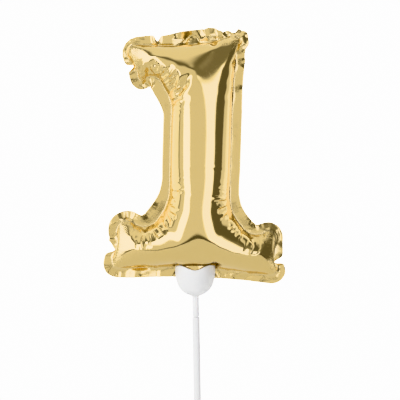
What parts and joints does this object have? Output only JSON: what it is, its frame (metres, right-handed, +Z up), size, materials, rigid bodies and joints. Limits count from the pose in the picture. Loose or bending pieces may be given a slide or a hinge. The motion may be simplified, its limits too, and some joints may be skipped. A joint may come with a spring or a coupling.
{
  "type": "foil number balloon",
  "caption": "Small air-filled foil balloon in the shape of a figure one, standing upright in a slotted plastic cup on a tubular plastic stick.",
  "frame": {"origin": "centre of the stick's lower end, where a hand or a cake holds the object up", "axes": "+Z up along the stick, +X to the right as the figure is read, +Y away from the reader; the balloon itself leans 2.8 degrees about Y, towards +X"},
  "size_m": [0.0912, 0.0364, 0.2975],
  "materials": {
    "gold_foil": "gloss",
    "valve_film": "gloss",
    "cup_plastic": "satin",
    "stick_plastic": "satin"
  },
  "bodies": {
    "stick": {"stick": "stick_plastic"},
    "cup": {"balloon_cup": "cup_plastic"},
    "balloon": {"front_foil_panel": "gold_foil", "back_foil_panel": "gold_foil", "valve_front_film": "valve_film", "valve_back_film": "valve_film"}
  },
  "joints": [
    {"name": "cup_swivel", "type": "hinge", "parent": "stick", "child": "cup", "pos_m": [0, 0, 0.15], "axis": [0, 0, 1], "continuous": true},
    {"name": "balloon_lift_out", "type": "slide", "parent": "cup", "child": "balloon", "axis": [0, 0, 1], "range_m": [0, 0.016]}
  ]
}
